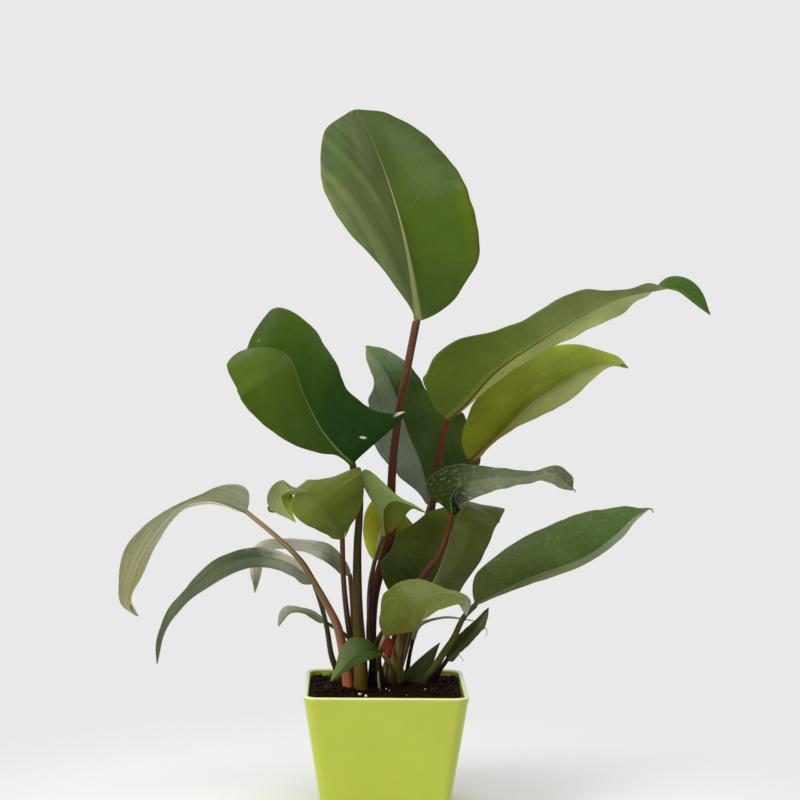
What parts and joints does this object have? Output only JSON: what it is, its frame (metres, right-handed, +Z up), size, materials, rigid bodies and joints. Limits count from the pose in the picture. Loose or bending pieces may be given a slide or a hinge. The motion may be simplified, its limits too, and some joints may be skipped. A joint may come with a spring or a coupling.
{
  "type": "potted foliage plant",
  "caption": "Leafy Congo philodendron with broad arching blades on long red and olive petioles, growing from dark potting mix in a square tapered lime planter.",
  "frame": {"origin": "centre of the planter's foot, on the surface it stands on", "axes": "+X to the viewer's right, -Y towards the viewer, +Z up"},
  "size_m": [0.4996, 0.1475, 0.6064],
  "materials": {
    "lime_glaze": "gloss",
    "potting_mix": "matt",
    "leaf_green": "semi-gloss",
    "leaf_dark": "semi-gloss",
    "leaf_grey_green": "semi-gloss",
    "leaf_yellow": "semi-gloss",
    "leaf_light": "semi-gloss",
    "petiole_red": "satin",
    "petiole_olive": "satin",
    "petiole_tan": "satin",
    "root": "matt"
  },
  "bodies": {
    "root": {"planter": "lime_glaze", "soil": "potting_mix", "blade_top": "leaf_green", "petiole_top": "petiole_red", "blade_upper_left": "leaf_dark", "petiole_upper_left": "petiole_olive", "blade_back": "leaf_grey_green", "petiole_back": "petiole_red", "blade_upper_right": "leaf_green", "petiole_upper_right": "petiole_red", "blade_yellow": "leaf_yellow", "petiole_yellow": "petiole_red", "blade_mid_right": "leaf_green", "petiole_mid_right": "petiole_red", "blade_centre_dark": "leaf_dark", "petiole_centre_dark": "petiole_tan", "blade_front_light": "leaf_light", "petiole_front_light": "petiole_tan", "blade_long_right": "leaf_dark", "petiole_long_right": "petiole_olive", "blade_low_right": "leaf_dark", "petiole_low_right": "petiole_olive", "blade_drooping_pale": "leaf_light", "petiole_drooping_pale": "petiole_tan", "blade_drooping_dark": "leaf_grey_green", "petiole_drooping_dark": "petiole_olive", "blade_folded_grey": "leaf_grey_green", "petiole_folded_grey": "petiole_tan", "blade_low_left": "leaf_grey_green", "petiole_low_left": "petiole_olive", "blade_small_front": "leaf_dark", "petiole_small_front": "petiole_olive", "blade_mid_left": "leaf_green", "petiole_mid_left": "petiole_red", "blade_centre_green": "leaf_green", "petiole_centre_green": "petiole_tan", "blade_lime": "leaf_yellow", "petiole_lime": "petiole_olive", "blade_young_red": "petiole_red", "petiole_young_red": "petiole_red", "blade_thin_back": "leaf_light", "petiole_thin_back": "petiole_olive", "sheath_right": "leaf_dark", "aerial_root": "root"}
  },
  "joints": []
}
